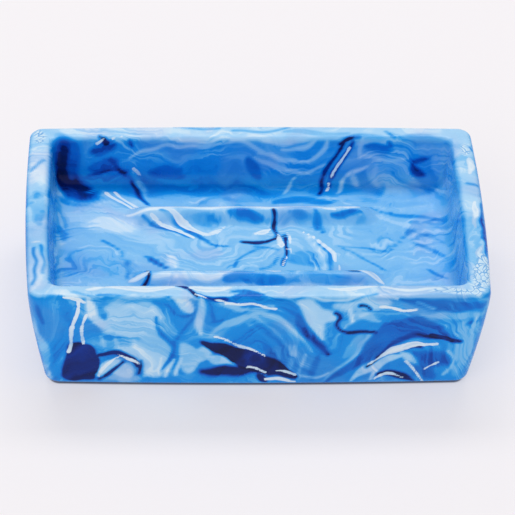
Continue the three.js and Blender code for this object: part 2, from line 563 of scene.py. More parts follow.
FRONT_CLOUDS = (
    # the left corner and the field beside it
    Streak((-62, 34), (-60, 3), 8, 0, 0.8, 0.46, 3),
    Streak((-69, 31), (-62, 3), 3.5, 0, 0.6, 0.66, 1.5),
    Streak((-70, 37), (-64, 26), 1.6, 0, 0.1, 0.3),
    Streak((-66, 38), (-53, 38), 3, 1, 0.2, 0.84),
    Streak((-60, 36), (-57, 27), 3.5, 0, 0.5, 0.36),
    Streak((-55, 35), (-56, 20), 1.6, 0, 0.4, 0.4),
    # the wide pale field and the swirl on its left
    Streak((-44, 27), (-31, 7), 14, 2, 0.5, 0.79, 2.5),
    Streak((-41, 32), (-32, 26), 11, 0, 0.8, 0.76, 3),
    Streak((-46, 3), (-34, 3), 3, 0, 0.5, 0.64, 1.5),
    Streak((-46, 32), (-33, 33), 5, 0, 0.5, 0.72, 2),
    Streak((-53, 20), (-40, 18), 6, 0, 0.5, 0.54, 2),
    Streak((-52, 37), (-44, 24), 4, -2, 0, 0.84),
    Streak((-49, 33), (-46, 28), 2.5, 0, 0.2, 0.48),
    Streak((-49, 38), (-27, 37), 1, -0.6, 0.2, 0.44),
    Streak((-47, 36), (-28, 36), 0.9, -0.6, 0.2, 0.5),
    Streak((-46, 35), (-34, 35), 0.8, -0.4, 0.2, 0.54),
    Streak((-47, 17), (-47, 21), 0.8, 0, 0.3, 0.7),
    Streak((-43, 16), (-43, 22), 0.8, 0, 0.3, 0.68),
    # the veins that fold into a V
    Streak((-29, 28), (-24, 21), 4, 0, 0.3, 0.56),
    Streak((-32, 35), (-26, 30), 1.4, 1, 0.2, 0.34),
    Streak((-27, 31), (-18, 34), 1.5, -3, 0.3, 0.34),
    Streak((-31, 29), (-26, 17), 1.3, -0.5, 0.3, 0.34),
    Streak((-26, 18), (-29, 6), 1.3, 0.5, 0.1, 0.34),
    Streak((-26, 18), (-18, 34), 1.3, -1, 0.3, 0.34),
    Streak((-26, 38), (-21, 31), 4, 0, 0.3, 0.84),
    Streak((-18, 36), (-17, 22), 2.8, -0.5, 0.4, 0.77),
    Streak((-23, 17), (-20, 7), 6, 0, 0.5, 0.78, 1.4),
    Streak((-20, 10), (-16, 16), 5, 0, 0.3, 0.8, 1.4),
    Streak((-17, 13), (-6, 8), 4, 0, 0.1, 0.85, 1.4),
    Streak((-47, 5), (-43, 10), 5, 0.5, 0.5, 0.82),
    Streak((-44, 8), (-38, 5), 6, 0.6, 0.5, 0.78),
    Streak((-30, 12), (-29, 5), 1.2, 0, 0, 0.9),
    Streak((-26, 11), (-27, 4), 1.4, 0, 0, 0.9),
    Streak((-24, 12), (-24, 5), 1.2, 0, 0, 0.9),
    # the dome in the middle and the arcs over it
    Streak((-6, 22), (7, 10), 13, 3, 0.6, 0.46, 3),
    Streak((-13, 35), (-6, 32), 3, 0, 0.3, 0.7),
    Streak((-19, 39), (-8, 35), 2.4, -0.5, 0.1, 0.08),
    Streak((-9, 36), (3, 36), 4.5, 0.3, 0.4, 0.38),
    Streak((2, 36), (13, 28), 4.5, 1, 0.4, 0.36),
    Streak((-16, 36), (-13, 27), 1.3, -0.4, 0.3, 0.34),
    Streak((-14, 27), (-3, 33), 1.3, -1.6, 0.2, 0.34),
    Streak((-14, 22), (3, 33), 3.2, 1, 0.2, 0.64),
    Streak((-6, 32), (15, 15), 1.6, 4.5, 0.2, 0.72, 1.6),
    Streak((-4, 30), (9, 8), 1.6, 4.5, 0.2, 0.64, 1.6),
    Streak((-3, 26), (5, 10), 1, 2.5, 0.2, 0.58),
    Streak((11, 30), (20, 13), 4, 0, 0.3, 0.27),
    Streak((14, 24), (20, 13), 2.2, 0, 0, 0.1),
    Streak((9, 38), (19, 20), 6, 2, 0, 0.82, 1.8),
    Streak((15, 32), (23, 27), 4.4, 0, 0, 0.8, 1.6),
    Streak((10, 17), (10, 3), 1, 0, 0.4, 0.66),
    Streak((13, 13), (13, 3), 0.9, 0, 0.4, 0.68),
    Streak((17, 13), (17, 3), 2.4, 0, 0.5, 0.36, 1.5),
    Streak((12, 5), (22, 5), 0.8, -1.4, 0, 0.78),
    # right of the dome
    Streak((21, 2), (34, 23), 3, -1, 0.2, 0.66, 1.5),
    Streak((25, 12), (31, 21), 4, 0, 0.3, 0.6, 1.5),
    Streak((22, 33), (37, 34), 5, 0, 0.5, 0.72, 2),
    Streak((27, 30), (36, 27), 3, 0.5, 0, 0.68),
    Streak((26, 32), (28, 27), 1.4, 0, 0, 0.86),
    Streak((0, 38), (18, 36), 0.9, -0.8, 0.2, 0.48),
    Streak((8, 38), (26, 35), 0.8, -0.6, 0.2, 0.88),
    Streak((22, 35), (40, 36), 0.9, 1.5, 0.2, 0.86),
    Streak((18, 34), (34, 38), 0.8, -0.8, 0.2, 0.48),
    Streak((41, 36), (69, 33), 4.5, -2, 0.1, 0.31),
    Streak((46, 34), (51, 32), 0.8, 0, 0, 0.64),
    Streak((44, 38), (68, 37), 2, -0.4, 0.4, 0.68),
    Streak((48, 29), (69, 29), 3, -0.4, 0.4, 0.62),
    Streak((61, 24), (67, 26), 1.4, 0.5, 0, 0.22),
    Streak((61, 25), (60, 4), 6, 0, 0.5, 0.6, 2.5),
    Streak((65, 29), (63, 5), 1, 0, 0.3, 0.74),
    Streak((67, 31), (65, 6), 2.2, 0, 0.3, 0.58),
    # the dark arch at the right and what lies under it
    Streak((21, 1), (38, 26), 3.5, -2, 0.1, 0.28),
    Streak((29, 7), (41, 25), 6, 1, 0, 0.28),
    Streak((32, 14), (60, 18), 9, 8, 0, 0.25),
    Streak((35, 12), (58, 18), 2.2, 5.5, 0, 0.11),
    Streak((46, 13), (59, 9), 6.4, 0, 0.1, 0.24, 3),
    Streak((49, 8), (54, 3), 4, 0, 0.4, 0.3, 2),
    Streak((56, 14), (57, 4), 0.9, 2.5, 0.2, 0.74),
    Streak((29, 2), (43, 13), 4, 1.5, 0.1, 0.86),
    Streak((35, 3), (39, 11), 1.8, 0.5, 0.1, 0.86),
    Streak((42, 14), (47, 9), 2.6, 0, 0.1, 0.84),
    # the shadow under the navy tongue in the middle
    Streak((-16, 6), (0, 7), 5, 0, 0.5, 0.08, 2.2),
)

FRONT_MILK = (
    Streak((-59, 36), (-53, 34), 1.6, 1.2, 0.3),
    Streak((-55, 35), (-58, 14), 1.3, 1.2, 0.15),
    Streak((-52, 29), (-53, 17), 1, 0, 0.2),
    Streak((-47, 4), (-43, 12), 1.6, 0.8, 0.3),
    Streak((-43, 13), (-36, 9), 1.2, 0.5, 0.3),
    Streak((-13, 21), (1, 13), 1.2, 0, 0.1),
    Streak((-3, 8), (3, 6), 1.1, 0.3, 0.1),
    Streak((6, 6), (12, 5), 1.3, 0.5, 0.3),
    Streak((3, 3), (12, 2), 1.7, 0.2, 0.3),
    Streak((-20, 39), (-10, 34), 0.9, 0.3, 0.2),
    Streak((-11, 34), (4, 32), 0.9, 1, 0.2),
    Streak((35, 33), (46, 31), 1.1, -0.5, 0.1),
    Streak((33, 9), (53, 17), 2.6, 3, 0),
    Streak((44, 10), (51, 1), 1.3, 0.6, 0.1),
    Streak((36, 3), (45, 3), 1.6, 1.8, 0.1),
    Streak((51, 7), (54, 9), 0.8, 0.3, 0.1),
)

FRONT_INK = (
    Streak((-55, 15), (-55, 6), 6.8, 0, 0.9),
    Streak((-51, 11), (-50, 6), 6, 0, 0.8),
    Streak((-53, 14), (-52, 6), 6.4, 0, 1),
    Streak((-56, 4), (-50, 4), 4, 0, 1),
    Streak((-49, 13), (-36, 8), 1.8, 3, 0.6),
    Streak((-36, 10), (-35, 5), 1.3, 0.4, 0.2),
    Streak((-41, 10), (-47, 3), 1.5, 0.8, 0.2),
    Streak((-17, 18), (12, 4), 6.6, 0, 0.25),
    Streak((1, 5), (3, 2), 2.4, 0, 0.4),
    Streak((4, 5), (12, 4), 1, 0.2, 0.3),
    Streak((29, 33), (32, 32), 0.9, 0.4, 0.2),
    Streak((22, 30), (24, 28), 0.8, 0.4, 0.4),
    Streak((24, 28), (25, 23), 0.8, -1, 0.6),
    Streak((25, 23), (35, 23), 0.9, -0.6, 0.1),
    Streak((33, 8), (48, 16), 1, 2.6, 0.1),
    Streak((37, 5), (48, 1), 2.6, 1.6, 0.1),
    Streak((52, 21), (60, 18), 1.1, -0.3, 0.1),
)

CAVITY_CLOUDS_AND_PAINTED_LIGHT = (
    # over the lip
    Streak((-30, 0), (-8, 0), 3, 0.5, 0.3, 0.74),
    Streak((2, 0), (18, 0), 4, 1, 0.3, 0.78),
    Streak((28, 0), (58, 1), 6, 1, 0.5, 0.64, 1.5),
    # the turn of the rear wall into the floor, darkened as the rear wall's painted shadow,
    # and the strip behind the rear bar
    Streak((-61, 18), (61, 18), 10, 0, 1, 0.47, 5),
    Streak((-60, 26), (-45, 25), 5, 0, 0.4, 0.5, 2),
    Streak((-26, 25), (-14, 25), 4.5, 0, 0.5, 0.68),
    Streak((-7, 25), (3, 25), 4.5, 0, 0.5, 0.62),
    Streak((8, 26), (25, 26), 3.5, 0, 0.5, 0.48, 1.5),
    Streak((27, 25), (54, 28), 3.5, 0, 0.4, 0.62, 1.5),
    # the navy corner at the left
    Streak((-59, 3), (-57, 15), 8, 0, 0.7, 0.08, 5),
    Streak((-59, 14), (-49, 23), 9, 1, 0.4, 0.04, 3),
    Streak((-56, 2), (-55, 14), 3.5, 0, 0.5, 0.25, 2),
    Streak((-50, 5), (-44, 3), 4.5, 0, 0.5, 0.2, 2),
    Streak((-49, 11), (-42, 9), 5, 0, 0.4, 0.26, 2),
    Streak((-45, 13), (-50, 21), 1, -1, 0, 0.5),
    Streak((-50, 14), (-38, 12), 1, -1, 0, 0.14),
    Streak((-39, 0), (-38, 3), 1.4, 0, 0.4, 0.14),
    # lines that wave along the rear wall
    Streak((-30, 12), (-18, 13), 5, 0, 0.4, 0.28, 2),
    Streak((-17, 12), (-3, 12), 10, 0, 0.7, 0.44, 2),
    Streak((-1, 8), (4, 14), 4, 0, 0.4, 0.26, 1.5),
    Streak((-38, 7), (-24, 3), 1.4, -1.3, 0.3, 0.74),
    Streak((-25, 3), (-6, 1), 1.4, 1, 0.4, 0.74),
    Streak((-7, 1), (3, 5), 1.4, -0.8, 0.4, 0.74),
    Streak((2, 5), (16, 9), 1.4, 0.5, 0.4, 0.74),
    Streak((16, 9), (23, 0), 1.6, 2.2, 0.3, 0.76),
    Streak((9, 4), (20, -1), 1.6, 2.5, 0.2, 0.76),
    Streak((1, 7), (17, 13), 1.4, 0.6, 0.3, 0.7),
    Streak((-37, 9), (-23, 6), 0.9, -1, 0.2, 0.56),
    Streak((-23, 5), (-6, 4), 0.9, 0.8, 0.2, 0.54),
    # veins that run down the wall on to the floor
    Streak((-44, 8), (-36, 15), 1.6, 0.3, 0.2, 0.18),
    Streak((-37, 14), (-32, 27), 2, 0.3, 0.2, 0.16),
    Streak((-36, 12), (-32, 24), 2.2, -0.4, 0.2, 0.7),
    Streak((-46, 21), (-36, 30), 3, 0.6, 0.2, 0.6),
    Streak((31, 2), (25, 18), 2.2, 0.2, 0.3, 0.1),
    Streak((39, 10), (28, 21), 1.6, 2.5, 0.2, 0.8),
    Streak((24, 10), (11, 22), 1.1, 2, 0.1, 0.72),
    Streak((33, 13), (34, 19), 2.4, 0, 0.4, 0.66),
    # rings and blots at the right end
    Streak((42, 12), (50, 21), 12, 0, 0.8, 0.6, 1.4),
    Streak((40, 10), (43, 24), 1, 1.2, 0.3, 0.66),
    Streak((43, 24), (53, 26), 1, 0.5, 0.3, 0.66),
    Streak((34, 1), (34, 7), 1.2, 0.8, 0.3, 0.72),
    Streak((34, 6), (48, 8), 1.2, 1, 0.2, 0.7),
    Streak((35, 3), (44, 4), 3.5, 0.4, 0.3, 0.34),
    Streak((44, 3), (60, 4), 6, 0, 0.5, 0.6, 2),
    Streak((42, 0), (43, 3), 1.4, 0, 0.4, 0.32),
    Streak((50, 8), (56, 8), 2, 0.4, 0.2, 0.2),
    Streak((51, 9), (57, 15), 3, 1, 0.2, 0.1),
    Streak((57, 9), (61, 15), 4, 0, 0.4, 0.34, 1.5),
    Streak((59, 21), (60, 32), 5.5, 0, 0.5, 0.68),
    # the floor, left of the bars and between them
    Streak((-50, 38), (-36, 40), 9, 0, 0.3, 0.86, 3),
    Streak((-60, 30), (-58, 46), 5, 0, 0.5, 0.5, 2.5),
    Streak((-59, 34), (-55, 44), 1, 1, 0.1, 0.68),
    Streak((-58, 55), (-44, 62), 14, 0, 0.6, 0.65, 3),
    Streak((-46, 47), (-38, 66), 1.1, -3, 0.1, 0.5),
    Streak((-32, 54), (-27, 61), 1.7, 0, 0.1, 0.26),
    Streak((-25, 55), (-24, 61), 3, 0, 0.4, 0.9),
    Streak((-6, 61), (3, 50), 1.1, -1.2, 0.2, 0.5),
    Streak((1, 50), (8, 51), 0.9, -1, 0.2, 0.5),
    Streak((8, 51), (2, 61), 0.9, -2, 0.2, 0.52),
    Streak((12, 56), (21, 57), 8, 0, 0.5, 0.58, 2),
    Streak((17, 45), (21, 62), 1.5, -2.2, 0.1, 0.88),
    Streak((20, 47), (23, 62), 1.3, -2, 0.1, 0.46),
    # the floor at the right
    Streak((37, 30), (61, 37), 2.2, 0.4, 0.2, 0.5, 1.6),
    Streak((40, 34), (62, 43), 2, 1, 0.2, 0.82, 1.6),
    Streak((49, 41), (63, 49), 1.3, 1, 0.2, 0.56),
    Streak((50, 48), (62, 57), 2, 0.5, 0.2, 0.52, 1.6),
    Streak((61, 57), (64, 53), 1.3, 0, 0.3, 0.42),
    Streak((27, 49), (40, 62), 0.9, 0.5, 0.1, 0.5),
    Streak((27, 49), (41, 52), 0.9, 0.8, 0.1, 0.55),
    Streak((41, 52), (49, 41), 0.9, 0.6, 0.1, 0.55),
    Streak((47, 60), (56, 63), 7, 0, 0.4, 0.76, 2.5),
    Streak((54, 63), (63, 66), 1, 1.5, 0.1, 0.5),
    # over the rear bar: darker streaks on its front slope are partly painted shade, and the
    # pale line along its crest is a painted highlight
    Streak((-20, 37), (-8, 37), 3, 0, 0.2, 0.6, 1.6),
    Streak((-7, 36), (3, 37), 3.6, 0, 0.4, 0.36, 1.8),
    Streak((12, 36), (18, 37), 2.6, 0.4, 0, 0.44, 1.8),
    Streak((20, 35), (22, 42), 2.6, 0.4, 0, 0.4, 1.8),
    Streak((25, 36), (34, 36), 2.2, 0, 0.3, 0.34),
    Streak((-34, 36), (-20, 45), 1.2, 0, 0.1, 0.3),
    Streak((-28, 35), (-14, 46), 2.4, 0, 0.2, 0.32, 1.4),
    Streak((-14, 46), (-7, 50), 1, 0.8, 0.1, 0.42),
    # painted highlight along the rear bar's crest
    Streak((-38, 34), (34, 33), 1.7, -0.3, 0.7, 0.92),
    # over the front bar; the palest streak, just in front of its crest, is a painted highlight
    Streak((-31, 69), (-10, 70), 2.8, 0, 0.6, 0.76),
    # painted highlight just in front of the front bar's crest
    Streak((-31, 68), (-7, 68), 2.8, 0, 0.6, 0.96),
    Streak((-9, 69), (8, 69), 4, 0, 0.5, 0.5, 1.6),
    Streak((9, 67), (13, 67), 4, 0, 0.5, 0.76),
    Streak((14, 69), (28, 69), 4, 0, 0.5, 0.56, 1.6),
    Streak((-31, 72), (38, 72), 3, 0, 0.8, 0.8),
)

CAVITY_MILK_AND_PAINTED_HIGHLIGHTS = (
    Streak((-49, 2), (-46, 0), 1, 0, 0.2),
    Streak((-44, 1), (-41, -1), 1, 0, 0.2),
    Streak((-45, 22), (-36, 30), 1.2, 0.4, 0.1),
    Streak((-42, 22), (-35, 29), 0.9, 0.3, 0.1),
    Streak((-36, 11), (-32, 15), 0.9, 0, 0.1),
    Streak((-31, 36), (-18, 45), 1.5, 0.3, 0.2),
    Streak((-27, 34), (-14, 43), 2.6, 0.4, 0.2),
    Streak((-15, 43), (-8, 40), 1.8, 0.6, 0.1),
    Streak((1, 43), (6, 40), 2.2, 0.3, 0.1),
    Streak((8, 43), (10, 51), 1.8, 0.3, 0.1),
    Streak((11, 43), (9, 59), 1, -1.6, 0.1),
    Streak((16, 43), (26, 61), 1.8, -3, 0.1),
    Streak((30, 4), (24, 20), 0.8, 0, 0.3),
    # pale cells along the rear bar's crest, which also paint its highlight
    Streak((29, 33), (34, 34), 2.2, 0, 0.3),
    Streak((0, 33), (8, 33), 1.5, 0, 0.2),
    Streak((21, 33), (26, 34), 1.3, 0, 0.2),
    # pale cells along the front bar's crest, which also paint its highlight
    Streak((-38, 68), (-32, 66), 2.6, 0, 0.3),
    Streak((2, 65), (8, 66), 1.5, 0, 0.2),
    Streak((31, 65), (39, 69), 3.4, 0, 0.2),
)

CAVITY_INK = (
    Streak((-48, -1), (-46, 2), 1.6, 0, 0.2),
    Streak((33, 0), (27, 2), 1.5, 0.4, 0.2),
    Streak((28, 2), (22, 22), 1.2, 0.6, 0.1),
    Streak((7, 34), (8, 45), 1.1, 0.2, 0.3),
    Streak((10, 44), (9, 59), 1, -1, 0.1),
    Streak((-3, 48), (7, 45), 1.5, 1, 0.1),
    Streak((-32, 65), (-34, 71), 1, -0.6, 0.2),
    Streak((28, 65), (32, 67), 1.5, 0, 0.2),
)

RIM_CLOUDS = (
    Streak((-58, 42), (58, 42), 5, 0, 0.8, 0.88, 2),
    Streak((-67, 25), (-66, 12), 4, 0, 0.4, 0.88, 1.5),
    Streak((-67, 8), (-66, -8), 4.5, 0, 0.4, 0.66, 1.5),
    Streak((-67, -10), (-66, -34), 4, 0, 0.4, 0.84, 1.5),
    Streak((-69, 20), (-65, 25), 0.9, 0.5, 0.1, 0.5),
    Streak((-68, -20), (-68, -38), 1, 0.8, 0.1, 0.45),
    Streak((-66, -19), (-65, -33), 0.9, 0.8, 0.1, 0.55),
    Streak((66, 34), (70, 28), 1, 0.6, 0.2, 0.48),
    Streak((65, 14), (69, 12), 0.9, 0, 0.2, 0.5),
    Streak((69, 3), (69, -24), 1.8, -0.3, 0.2, 0.3),
    Streak((-24, 43), (-10, 43), 0.9, 0.3, 0.1, 0.6),
    Streak((-6, 41), (12, 43), 1, -0.4, 0.1, 0.58),
    Streak((10, 41), (30, 40), 3, 0, 0.4, 0.72),
    Streak((42, 42), (44, 39), 1.4, 0, 0.3, 0.5),
    Streak((-9, -42), (0, -43), 2, 0, 0.3, 0.4),
    Streak((-56, -41), (-50, -45), 1, 0.5, 0.2, 0.55),
)

RIM_MILK_AND_PAINTED_HIGHLIGHT = (
    Streak((-69, -17), (-66, -17), 1.5, 0, 0.4),
    Streak((67, 27), (67, 19), 2.4, 0, 0.5),
    Streak((67, 4), (66, -9), 2, 0, 0.3),
    Streak((67, -19), (66, -24), 2.2, 0, 0.4),
    # pale cells along the front rim's inner lip, which also paint the lip's highlight
    Streak((-52, -40), (-47, -40), 2, 0, 0.4),
    Streak((-46, -40), (-26, -40), 2.6, 0, 0.4),
    Streak((-21, -40), (-9, -40), 2.6, 0, 0.4),
    Streak((20, -40), (35, -40), 1.7, 0, 0.2),
    Streak((36, -40), (56, -41), 1.7, 0, 0.2),
)

RIM_INK = (
    Streak((-25, -39), (-21, -41), 1.3, 0, 0.4),
    Streak((-22, -40), (-19, -45), 1.4, 0, 0.4),
)

RIM_LACE = (
    Streak((67, -24), (64, -42), 6, 1, 0.5),
    Streak((66, -41), (50, -42), 3, 0, 0.1),
    Streak((66, 35), (66, 29), 3, 0, 0.3),
    Streak((-67, 41), (-66, 35), 4, 0, 0.4),
)

END_CLOUDS = (
    Streak((-34, 29), (34, 29), 14, 0, 0.9, 0.62, 3),
    Streak((-24, 23), (-21, 34), 1.8, 0.5, 0.3, 0.44, 1.5),
    Streak((-12, 23), (-10, 34), 1.6, -0.5, 0.3, 0.74, 1.5),
    Streak((0, 23), (3, 34), 1.8, 0.5, 0.3, 0.46, 1.5),
)

LAID = {
    (Sheet.FRONT, Layer.CLOUD): FRONT_CLOUDS,
    (Sheet.FRONT, Layer.MILK): FRONT_MILK,
    (Sheet.FRONT, Layer.INK): FRONT_INK,
    (Sheet.CAVITY, Layer.CLOUD): CAVITY_CLOUDS_AND_PAINTED_LIGHT,
    (Sheet.CAVITY, Layer.MILK): CAVITY_MILK_AND_PAINTED_HIGHLIGHTS,
    (Sheet.CAVITY, Layer.INK): CAVITY_INK,
    (Sheet.RIM, Layer.CLOUD): RIM_CLOUDS,
    (Sheet.RIM, Layer.MILK): RIM_MILK_AND_PAINTED_HIGHLIGHT,
    (Sheet.RIM, Layer.INK): RIM_INK,
    (Sheet.RIM, Layer.LACE): RIM_LACE,
    (Sheet.END, Layer.CLOUD): END_CLOUDS,
}


@dataclass(frozen=True)
class Fold:
    """A place where the layers of the pour are pushed up, or down if lift is below zero.

    Args:
        sheet: the sheet that it is on.
        place: its middle on the sheet, (u, v).
        reach: how far it spreads along x and z.
        lift: how far it pushes the layers at its middle.
    """

    sheet: Sheet
    place: tuple[float, float]
    reach: tuple[float, float]
    lift: float


FOLDS = (
    Fold(Sheet.FRONT, (0, 22), (10, 14), 14),
    Fold(Sheet.FRONT, (19, 20), (6, 14), -12),
    Fold(Sheet.FRONT, (42, 16), (12, 14), 14),
    Fold(Sheet.FRONT, (-24, 26), (4, 10), -9),
    Fold(Sheet.FRONT, (-13, 27), (4, 8), -7),
    Fold(Sheet.FRONT, (-68, 15), (8, 30), -26),
    Fold(Sheet.FRONT, (68, 15), (9, 30), -26),
    Fold(Sheet.FRONT, (-38, 20), (9, 14), 7),
    Fold(Sheet.CAVITY, (16, 6), (8, 9), -7),
    Fold(Sheet.CAVITY, (-5, 5), (9, 9), 4),
    Fold(Sheet.CAVITY, (42, 10), (9, 12), 8),
    Fold(Sheet.CAVITY, (-48, 55), (12, 14), 12),
    Fold(Sheet.CAVITY, (-15, 48), (9, 12), -10),
    Fold(Sheet.CAVITY, (10, 52), (7, 12), 12),
    Fold(Sheet.CAVITY, (38, 50), (10, 10), -8),
)


@dataclass(frozen=True)
class Pour:
    """The way the pigments lie in the casting, measured at the vertices of a piece.

    Stored per vertex are a tone (0 navy to 1 white), a level that counts the folded layers in
    millimetres, and the depth in millimetres inside crisp milk, ink and lace. The tone and the
    milk also hold painted light and shade: paler level faces, darker walls and bar slopes, a
    painted shadow on the floor behind the rear bar, and painted highlights along the bars'
    crests and the front rim's lip. The finish draws its edges where those depths pass zero, so
    an edge is as sharp as the finish makes it.
    """

    tray: TrayCasting
    length: float
    width: float
    height: float
    # the tones by facing paint light and shade: darker walls, paler rim and floor
    wall_tone: float = 0.5
    rim_tone: float = 0.82
    inner_tone: float = 0.53
    floor_tone: float = 0.72
    flat_from: float = 0.45  # a face starts to count as level at this upward share of its normal
    flat_span: float = 0.5
    outside: float = -6.0  # depth of a point that is far from every streak
    ripples: tuple[tuple[float, float], ...] = ((0.3, 1.3), (0.8, 3.1))  # reach and length
    lean: float = 0.7  # how steeply the layers fall towards the front
    fold_reach: float = 16.0  # reach of a fold into the casting

    def lift(self, sheet: Sheet, u: np.ndarray, v: np.ndarray) -> np.ndarray:
        """Turns a sheet's coordinates into the tray's own.

        Args:
            sheet: the sheet.
            u: first coordinates.
            v: second coordinates, the same shape.

        Returns:
            Points, with one more axis of length 3.
        """
        tray, top = self.tray, self.height
        if sheet is Sheet.FRONT:
            share = np.clip((top - v) / top, 0, 1) ** tray.taper_curve
            wall = tray.side_taper * share + tray.side_bow * (2 * u / self.length) ** 2
            y = wall - self.width / 2 + np.maximum(v - top, 0)
            return np.stack([u, y, np.minimum(v, top)], axis=-1)
        if sheet is Sheet.CAVITY:
            down = np.clip(v, 0, tray.depth)
            wall = self.width / 2 - tray.side_rim - tray.draft * down / tray.depth
            y = wall - np.maximum(v - tray.depth, 0) - np.minimum(v, 0)
            return np.stack([u, y, top - down], axis=-1)
        if sheet is Sheet.END:
            x = self.length / 2 - tray.end_rim - tray.draft * (top - v) / tray.depth
            return np.stack([x, u, v], axis=-1)
        return np.stack([u, v, np.full_like(u, top)], axis=-1)

    def inside(self, points: np.ndarray, sheet: Sheet, streak: Streak) -> np.ndarray:
        """Works out how deep each point lies inside a streak.

        Between two places on the spine the half width runs on evenly, and the depth is that half
        width less the distance from the spine. The deepest of all stretches counts.

        Args:
            points: shape (count, 3).
            sheet: the sheet that the streak is on.
            streak: the streak.

        Returns:
            The depth at each point, below zero outside, shape (count,).
        """
        places, half = streak.spine()
        spine = self.lift(sheet, places[:, 0], places[:, 1])
        reach = half.max() - self.outside
        low, high = spine.min(axis=0) - reach, spine.max(axis=0) + reach
        close = np.flatnonzero(np.all((points > low) & (points < high), axis=1))
        along = np.diff(spine, axis=0)
        away = points[close, None, :] - spine[None, :-1]
        square = np.maximum(np.sum(along ** 2, axis=1), 1e-9)
        t = np.clip(np.sum(away * along, axis=2) / square, 0, 1)
        gap = np.linalg.norm(away - t[..., None] * along, axis=2)
        depth = np.full(len(points), self.outside)
        depth[close] = np.maximum(self.outside, (half[:-1] + np.diff(half) * t - gap).max(axis=1))
        return depth

    def start_tone_with_painted_shade(self, points: np.ndarray, normals: np.ndarray) -> np.ndarray:
        """Gives the tone that the streaks are laid over, by wall, rim and floor.

        Args:
            points: places in millimetres, shape (count, 3).
            normals: unit normals, shape (count, 3).

        Returns:
            The tones, shape (count,).
        """
        within = np.abs(points[:, 0]) < self.length / 2 - self.tray.end_rim
        within &= np.abs(points[:, 1]) < self.width / 2 - self.tray.side_rim
        # faces that turn up get paler, steep faces and the bars' slopes darker: painted light and
        # shade
        share = np.clip((normals[:, 2] - self.flat_from) / self.flat_span, 0, 1)
        wall = np.where(within, self.inner_tone, self.wall_tone)
        flat = np.where(within, self.floor_tone, self.rim_tone)
        return wall + (flat - wall) * share

    def wander(self, points: np.ndarray, normals: np.ndarray) -> np.ndarray:
        """Moves places along the surface by sines, so that the streaks waver.

        Args:
            points: places in millimetres, shape (count, 3).
            normals: unit normals, shape (count, 3).

        Returns:
            The moved places.
        """
        (reach, length), (far_reach, far_length) = self.ripples
        sway = reach * np.sin(points[:, [1, 2, 0]] / length)
        sway += far_reach * np.sin(points[:, [2, 0, 1]] / far_length)
        return points + sway - np.sum(sway * normals, axis=1)[:, None] * normals

    def measure(self, points: np.ndarray, normals: np.ndarray) -> dict[str, np.ndarray]:
        """Works out what the finish needs to know at each point.

        Args:
            points: places in millimetres, shape (count, 3).
            normals: unit normals, shape (count, 3).

        Returns:
            The fields tone, level, milk, ink and lace by name.
        """
        tone = self.start_tone_with_painted_shade(points, normals)
        moved = self.wander(points, normals)
        crisp = [layer for layer in Layer if layer is not Layer.CLOUD]
        fields = {layer.value: np.full(len(points), self.outside) for layer in crisp}
        for (sheet, layer), streaks in LAID.items():
            for streak in streaks:
                depth = self.inside(moved, sheet, streak)
                if layer is Layer.CLOUD:
                    cover = np.clip(depth / streak.soft + 0.5, 0, 1)
                    tone += (streak.tone - tone) * cover * cover * (3 - 2 * cover)
                else:
                    fields[layer.value] = np.maximum(fields[layer.value], depth)
        level = points[:, 2] + self.lean * points[:, 1]
        for fold in FOLDS:
            centre = self.lift(fold.sheet, *np.array(fold.place, float)[:, None])[0]
            away = (points - centre) / (fold.reach[0], self.fold_reach, fold.reach[1])
            level -= fold.lift * np.exp(-np.sum(away ** 2, axis=1))
        return {"tone": tone, "level": level, **fields}

    def store(self, piece: bpy.types.Object, flatten: float | None = None) -> None:
        """Stores the fields on a piece's vertices.

        Args:
            piece: the mesh.
            flatten: height to measure at, for a piece that continues the floor's pattern.
        """
        mesh = piece.data
        count = len(mesh.vertices)
        points = np.empty(count * 3, np.float32)
        normals = np.empty(count * 3, np.float32)
        mesh.vertices.foreach_get("co", points)
        mesh.vertex_normals.foreach_get("vector", normals)
        points = points.reshape(-1, 3).astype(float) / MM
        normals = normals.reshape(-1, 3).astype(float)
        if flatten is not None:
            points[:, 2] = flatten
        for name, values in self.measure(points, normals).items():
            attribute = mesh.attributes.new(name, "FLOAT", "POINT")
            attribute.data.foreach_set("value", values.astype(np.float32))


# ---------------------------------------------------------------- finishes


@dataclass(frozen=True)
class Grain:
    """One noise: its size in millimetres, and how much finer detail it carries."""

    size: float
    detail: float = 1.0
    roughness: float = 0.5


